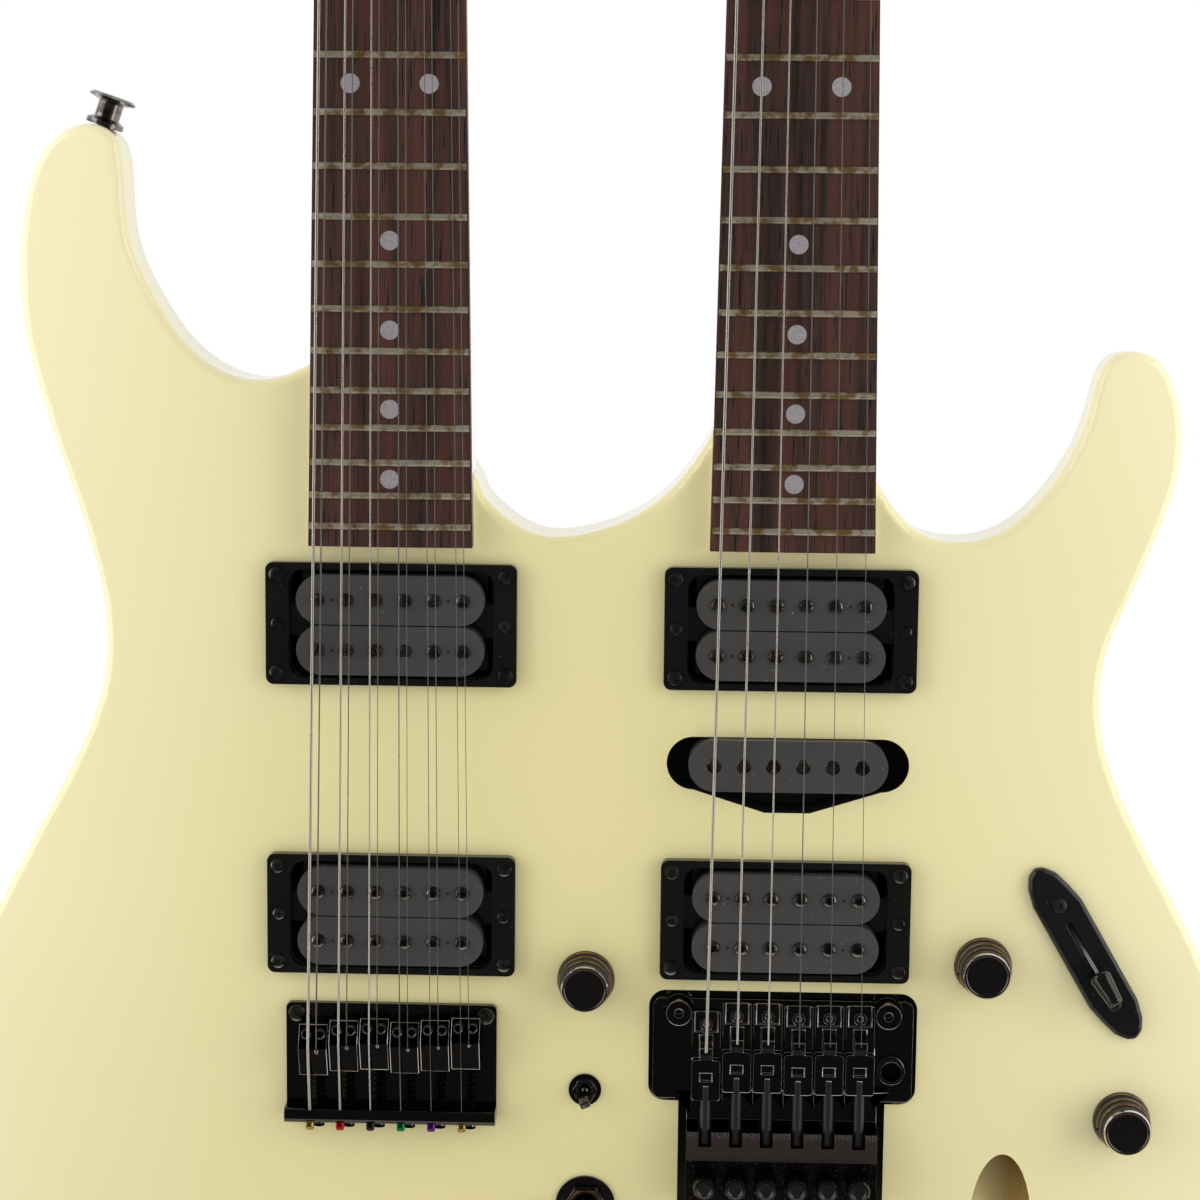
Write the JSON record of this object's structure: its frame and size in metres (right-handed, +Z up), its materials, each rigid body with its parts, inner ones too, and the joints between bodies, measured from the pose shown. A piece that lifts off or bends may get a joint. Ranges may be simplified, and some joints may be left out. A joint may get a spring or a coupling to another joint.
{
  "type": "double-neck electric guitar",
  "caption": "Double-neck electric guitar: a thin cream body with two horns, a fixed bridge behind the left neck, a locking tremolo behind the right one, and dark hardware.",
  "frame": {"origin": "seat of the end strap button, at the middle of the body's bottom edge", "axes": "+X from the upper horn's side to the lower horn's side, +Y from the strings to the back, +Z up along the necks"},
  "size_m": [0.4651, 0.0851, 1.0008],
  "materials": {
    "cream_gloss": "wood under glossy cream lacquer, slightly yellowed",
    "rosewood": "dark brown open-grained wood",
    "fret_metal": "worn nickel silver",
    "pearl": "pearly grey",
    "steel": "plain steel",
    "string_steel": "bright wire, the thick ones wound",
    "bone_plastic": "off-white",
    "black_chrome": "smoked dark chrome",
    "black_gloss_plastic": "glossy black",
    "dark_satin_plastic": "dark grey satin",
    "nickel": "polished nickel",
    "satin_black_metal": "satin black",
    "brass_block": "plain brass"
  },
  "bodies": {
    "guitar": {"body": "cream_gloss", "neck_twelve": "cream_gloss", "neck_six": "cream_gloss", "truss_rods": "steel", "fretboards": "rosewood", "inlay_dots": "pearl", "frets": "fret_metal", "strings_twelve": "string_steel", "strings_six": "string_steel", "nut_twelve": "bone_plastic", "locking_nut": "black_chrome", "tuner_housings": "black_chrome", "pickup_rings": "black_gloss_plastic", "pickup_coils": "dark_satin_plastic", "pickup_poles": "nickel", "fixed_bridge_plate": "black_chrome", "fixed_bridge_saddles": "black_chrome", "tremolo_studs": "black_chrome", "spring_claw": "steel", "tremolo_springs": "steel", "pots_and_switches": "nickel", "blade_switch_cover": "satin_black_metal", "output_jack": "nickel", "strap_buttons": "black_chrome", "rear_covers": "black_gloss_plastic", "mounting_screws": "black_chrome", "neck_bolts": "black_chrome"},
    "tremolo": {"tremolo_base_plate": "black_chrome", "tremolo_saddles": "black_chrome", "sustain_block": "brass_block"},
    "fine_tuner_1": {"fine_tuner_1": "black_chrome"},
    "fine_tuner_2": {"fine_tuner_2": "black_chrome"},
    "fine_tuner_3": {"fine_tuner_3": "black_chrome"},
    "fine_tuner_4": {"fine_tuner_4": "black_chrome"},
    "fine_tuner_5": {"fine_tuner_5": "black_chrome"},
    "fine_tuner_6": {"fine_tuner_6": "black_chrome"},
    "volume_knob_twelve": {"volume_knob_twelve": "black_chrome"},
    "volume_knob_six": {"volume_knob_six": "black_chrome"},
    "tone_knob_six": {"tone_knob_six": "black_chrome"},
    "mini_toggle_lever": {"mini_toggle_lever": "black_chrome"},
    "neck_selector_lever": {"neck_selector_lever": "black_chrome"},
    "blade_switch_lever": {"blade_switch_lever": "steel"},
    "tuner_key_twelve_1": {"tuner_key_twelve_1": "black_chrome"},
    "tuner_key_twelve_2": {"tuner_key_twelve_2": "black_chrome"},
    "tuner_key_twelve_3": {"tuner_key_twelve_3": "black_chrome"},
    "tuner_key_twelve_4": {"tuner_key_twelve_4": "black_chrome"},
    "tuner_key_twelve_5": {"tuner_key_twelve_5": "black_chrome"},
    "tuner_key_twelve_6": {"tuner_key_twelve_6": "black_chrome"},
    "tuner_key_twelve_7": {"tuner_key_twelve_7": "black_chrome"},
    "tuner_key_twelve_8": {"tuner_key_twelve_8": "black_chrome"},
    "tuner_key_twelve_9": {"tuner_key_twelve_9": "black_chrome"},
    "tuner_key_twelve_10": {"tuner_key_twelve_10": "black_chrome"},
    "tuner_key_twelve_11": {"tuner_key_twelve_11": "black_chrome"},
    "tuner_key_twelve_12": {"tuner_key_twelve_12": "black_chrome"},
    "tuner_key_six_1": {"tuner_key_six_1": "black_chrome"},
    "tuner_key_six_2": {"tuner_key_six_2": "black_chrome"},
    "tuner_key_six_3": {"tuner_key_six_3": "black_chrome"},
    "tuner_key_six_4": {"tuner_key_six_4": "black_chrome"},
    "tuner_key_six_5": {"tuner_key_six_5": "black_chrome"},
    "tuner_key_six_6": {"tuner_key_six_6": "black_chrome"}
  },
  "joints": [
    {"name": "tremolo_pivot", "type": "hinge", "parent": "guitar", "child": "tremolo", "pos_m": [0.07015, -0.0205, 0.1555], "axis": [1, 0, 0], "range_deg": [-12, 4], "stiffness_Nm_per_rad": 30, "deforming": ["strings_six", "tremolo_springs"]},
    {"name": "fine_tuner_1_turn", "type": "hinge", "parent": "tremolo", "child": "fine_tuner_1", "pos_m": [0.0428, -0.0305, 0.0942], "axis": [0, -1, 0], "range_deg": [-360, 360]},
    {"name": "fine_tuner_2_turn", "type": "hinge", "parent": "tremolo", "child": "fine_tuner_2", "pos_m": [0.05374, -0.0305, 0.0942], "axis": [0, -1, 0], "range_deg": [-360, 360]},
    {"name": "fine_tuner_3_turn", "type": "hinge", "parent": "tremolo", "child": "fine_tuner_3", "pos_m": [0.06468, -0.0305, 0.0942], "axis": [0, -1, 0], "range_deg": [-360, 360]},
    {"name": "fine_tuner_4_turn", "type": "hinge", "parent": "tremolo", "child": "fine_tuner_4", "pos_m": [0.07562, -0.0305, 0.0942], "axis": [0, -1, 0], "range_deg": [-360, 360]},
    {"name": "fine_tuner_5_turn", "type": "hinge", "parent": "tremolo", "child": "fine_tuner_5", "pos_m": [0.08656, -0.0305, 0.0942], "axis": [0, -1, 0], "range_deg": [-360, 360]},
    {"name": "fine_tuner_6_turn", "type": "hinge", "parent": "tremolo", "child": "fine_tuner_6", "pos_m": [0.0975, -0.0305, 0.0942], "axis": [0, -1, 0], "range_deg": [-360, 360]},
    {"name": "volume_knob_twelve_turn", "type": "hinge", "parent": "guitar", "child": "volume_knob_twelve", "pos_m": [-0.0005, -0.02, 0.1652], "axis": [0, -1, 0], "range_deg": [0, 270]},
    {"name": "volume_knob_six_turn", "type": "hinge", "parent": "guitar", "child": "volume_knob_six", "pos_m": [0.1409, -0.01936, 0.1726], "axis": [0.0359, -0.9994, 0], "range_deg": [0, 270]},
    {"name": "tone_knob_six_turn", "type": "hinge", "parent": "guitar", "child": "tone_knob_six", "pos_m": [0.1923, -0.01618, 0.1158], "axis": [0.0873, -0.9962, 0], "range_deg": [0, 270]},
    {"name": "mini_toggle_lever_flip", "type": "hinge", "parent": "guitar", "child": "mini_toggle_lever", "pos_m": [-0.0005, -0.0208, 0.1244], "axis": [1, 0, 0], "range_deg": [-24, 0]},
    {"name": "neck_selector_lever_flip", "type": "hinge", "parent": "guitar", "child": "neck_selector_lever", "pos_m": [0, -0.0201, 0.0814], "axis": [1, 0, 0], "range_deg": [-24, 0]},
    {"name": "blade_switch_throw", "type": "hinge", "parent": "guitar", "child": "blade_switch_lever", "pos_m": [0.17195, -0.01276, 0.18606], "axis": [0.8638, 0.0626, 0.5], "range_deg": [-50, 0]},
    {"name": "tuner_key_twelve_1_turn", "type": "hinge", "parent": "guitar", "child": "tuner_key_twelve_1", "pos_m": [-0.09465, 0.00375, 0.82385], "axis": [-1, 0, 0], "continuous": true},
    {"name": "tuner_key_twelve_2_turn", "type": "hinge", "parent": "guitar", "child": "tuner_key_twelve_2", "pos_m": [-0.09465, 0.01027, 0.8521], "axis": [-1, 0, 0], "continuous": true},
    {"name": "tuner_key_twelve_3_turn", "type": "hinge", "parent": "guitar", "child": "tuner_key_twelve_3", "pos_m": [-0.09465, 0.0168, 0.88036], "axis": [-1, 0, 0], "continuous": true},
    {"name": "tuner_key_twelve_4_turn", "type": "hinge", "parent": "guitar", "child": "tuner_key_twelve_4", "pos_m": [-0.09465, 0.02332, 0.90861], "axis": [-1, 0, 0], "continuous": true},
    {"name": "tuner_key_twelve_5_turn", "type": "hinge", "parent": "guitar", "child": "tuner_key_twelve_5", "pos_m": [-0.09465, 0.02984, 0.93687], "axis": [-1, 0, 0], "continuous": true},
    {"name": "tuner_key_twelve_6_turn", "type": "hinge", "parent": "guitar", "child": "tuner_key_twelve_6", "pos_m": [-0.09465, 0.03637, 0.96513], "axis": [-1, 0, 0], "continuous": true},
    {"name": "tuner_key_twelve_7_turn", "type": "hinge", "parent": "guitar", "child": "tuner_key_twelve_7", "pos_m": [-0.04565, 0.00375, 0.82385], "axis": [1, 0, 0], "continuous": true},
    {"name": "tuner_key_twelve_8_turn", "type": "hinge", "parent": "guitar", "child": "tuner_key_twelve_8", "pos_m": [-0.04565, 0.01027, 0.8521], "axis": [1, 0, 0], "continuous": true},
    {"name": "tuner_key_twelve_9_turn", "type": "hinge", "parent": "guitar", "child": "tuner_key_twelve_9", "pos_m": [-0.04565, 0.0168, 0.88036], "axis": [1, 0, 0], "continuous": true},
    {"name": "tuner_key_twelve_10_turn", "type": "hinge", "parent": "guitar", "child": "tuner_key_twelve_10", "pos_m": [-0.04565, 0.02332, 0.90861], "axis": [1, 0, 0], "continuous": true},
    {"name": "tuner_key_twelve_11_turn", "type": "hinge", "parent": "guitar", "child": "tuner_key_twelve_11", "pos_m": [-0.04565, 0.02984, 0.93687], "axis": [1, 0, 0], "continuous": true},
    {"name": "tuner_key_twelve_12_turn", "type": "hinge", "parent": "guitar", "child": "tuner_key_twelve_12", "pos_m": [-0.04565, 0.03637, 0.96513], "axis": [1, 0, 0], "continuous": true},
    {"name": "tuner_key_six_1_turn", "type": "hinge", "parent": "guitar", "child": "tuner_key_six_1", "pos_m": [0.05015, 0.00375, 0.83484], "axis": [-1, 0, 0], "continuous": true},
    {"name": "tuner_key_six_2_turn", "type": "hinge", "parent": "guitar", "child": "tuner_key_six_2", "pos_m": [0.05015, 0.0096, 0.86018], "axis": [-1, 0, 0], "continuous": true},
    {"name": "tuner_key_six_3_turn", "type": "hinge", "parent": "guitar", "child": "tuner_key_six_3", "pos_m": [0.05015, 0.01545, 0.88551], "axis": [-1, 0, 0], "continuous": true},
    {"name": "tuner_key_six_4_turn", "type": "hinge", "parent": "guitar", "child": "tuner_key_six_4", "pos_m": [0.05015, 0.0213, 0.91085], "axis": [-1, 0, 0], "continuous": true},
    {"name": "tuner_key_six_5_turn", "type": "hinge", "parent": "guitar", "child": "tuner_key_six_5", "pos_m": [0.05015, 0.02714, 0.93618], "axis": [-1, 0, 0], "continuous": true},
    {"name": "tuner_key_six_6_turn", "type": "hinge", "parent": "guitar", "child": "tuner_key_six_6", "pos_m": [0.05015, 0.03299, 0.96151], "axis": [-1, 0, 0], "continuous": true}
  ]
}
